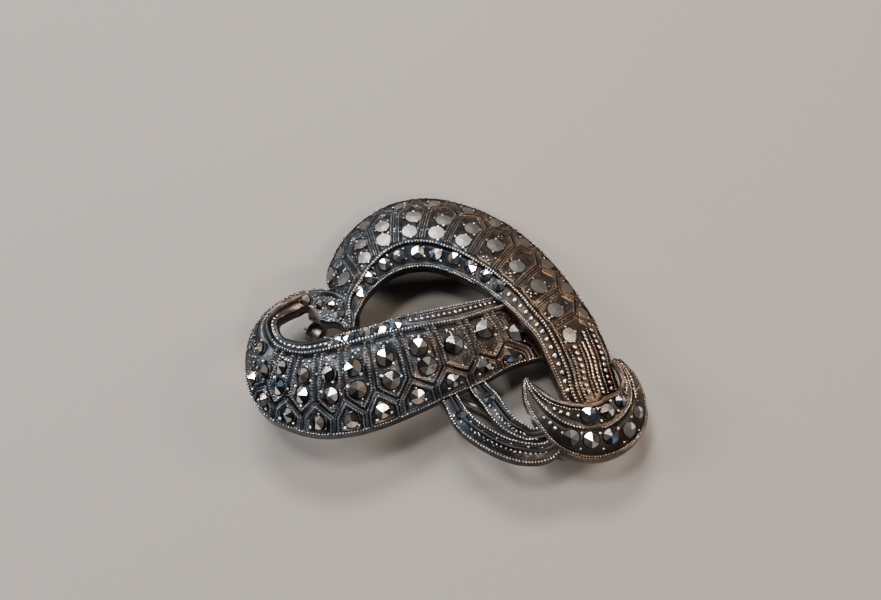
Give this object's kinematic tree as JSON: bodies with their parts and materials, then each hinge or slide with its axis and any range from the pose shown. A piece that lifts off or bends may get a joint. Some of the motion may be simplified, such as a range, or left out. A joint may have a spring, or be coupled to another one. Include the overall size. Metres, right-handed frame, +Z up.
{
  "type": "marcasite brooch",
  "caption": "Open scroll brooch of cast oxidised silver, pierced and domed, set all over with round cut marcasites in hexagonal cells, with a hinged pin and hook catch behind.",
  "frame": {"origin": "middle of the foot of the brooch's box, on the surface that it lies on, face up", "axes": "+Z up, +X to the right across the face, from the lobe to the crescent cap, +Y towards the arch"},
  "size_m": [0.0422, 0.0338, 0.0097],
  "materials": {
    "oxidised_silver": "cast, oxidised dark in the recesses and worn bright on the rails and beads",
    "marcasite": "polished facets with a metallic lustre",
    "finding_metal": "tarnished silver, satin",
    "pin_steel": "drawn wire, satin"
  },
  "bodies": {
    "brooch": {"scroll": "oxidised_silver", "arch_stones": "marcasite", "arch_rim_stones": "marcasite", "arch_border_stones": "marcasite", "band_stones": "marcasite", "band_rim_stones": "marcasite", "band_border_stones": "marcasite", "loop_stones": "marcasite", "cap_stones": "marcasite", "strand_stones": "marcasite", "hinge_bracket": "finding_metal", "hinge_rivet": "finding_metal", "hook_catch": "finding_metal"},
    "pin": {"pin_stem": "pin_steel"}
  },
  "joints": [
    {"name": "pin_swing", "type": "hinge", "parent": "brooch", "child": "pin", "pos_m": [0.01217, -0.01391, 0.00165], "axis": [-0.4497, -0.8823, 0.139], "range_deg": [0, 75]}
  ]
}
